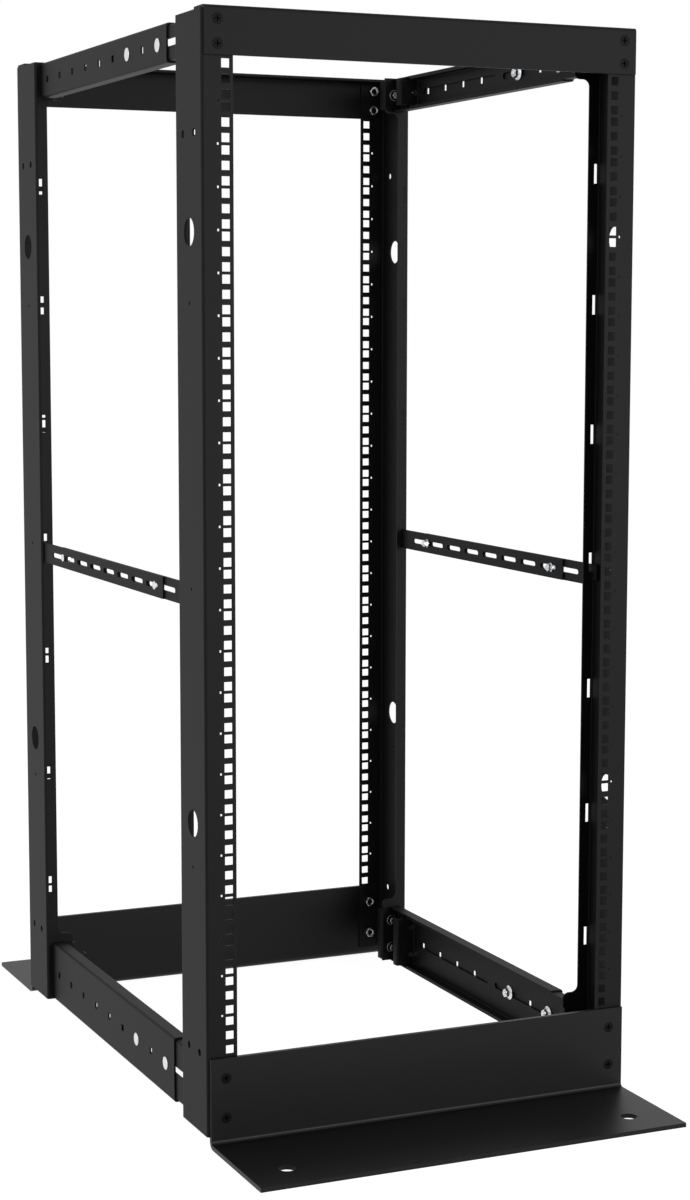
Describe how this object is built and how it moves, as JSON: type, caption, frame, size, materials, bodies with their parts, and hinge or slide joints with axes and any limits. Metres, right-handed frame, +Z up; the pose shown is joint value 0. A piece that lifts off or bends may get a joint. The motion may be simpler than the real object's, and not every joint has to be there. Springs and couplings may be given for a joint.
{
  "type": "four post open frame rack",
  "caption": "Open frame floor rack: folded steel corner posts with square equipment holes, joined by headers, floor angles, telescoping depth rails and slotted mid bars",
  "frame": {"origin": "on the floor, midway between the four posts", "axes": "+X to the right seen from the front, +Y from front to rear, +Z up"},
  "size_m": [0.5234, 0.973, 1.2211],
  "materials": {
    "black_powder_coat": "fine matte powder coat",
    "black_powder_coat_base": "fine matte powder coat on heavy plate",
    "black_powder_coat_rail": "fine matte powder coat on rails and bars",
    "bright_zinc": "bright zinc plate on bolts and nuts"
  },
  "bodies": {
    "root": {"base_front": "black_powder_coat_base", "base_rear": "black_powder_coat_base", "header_front": "black_powder_coat", "header_rear": "black_powder_coat", "mid_bar_bolt_front_left": "bright_zinc", "mid_bar_bolt_front_right": "bright_zinc", "mid_bar_bolt_rear_left": "bright_zinc", "mid_bar_bolt_rear_right": "bright_zinc", "mid_bar_front_left": "black_powder_coat_rail", "mid_bar_front_right": "black_powder_coat_rail", "mid_bar_rear_left": "black_powder_coat_rail", "mid_bar_rear_right": "black_powder_coat_rail", "post_front_left": "black_powder_coat", "post_front_right": "black_powder_coat", "post_rear_left": "black_powder_coat", "post_rear_right": "black_powder_coat", "rail_bracket_bottom_left": "black_powder_coat_rail", "rail_bracket_bottom_right": "black_powder_coat_rail", "rail_bracket_top_left": "black_powder_coat_rail", "rail_bracket_top_right": "black_powder_coat_rail", "rail_inner_bottom_left": "black_powder_coat_rail", "rail_inner_bottom_right": "black_powder_coat_rail", "rail_inner_top_left": "black_powder_coat_rail", "rail_inner_top_right": "black_powder_coat_rail", "rail_outer_bottom_left": "black_powder_coat_rail", "rail_outer_bottom_right": "black_powder_coat_rail", "rail_outer_top_left": "black_powder_coat_rail", "rail_outer_top_right": "black_powder_coat_rail"}
  },
  "joints": []
}
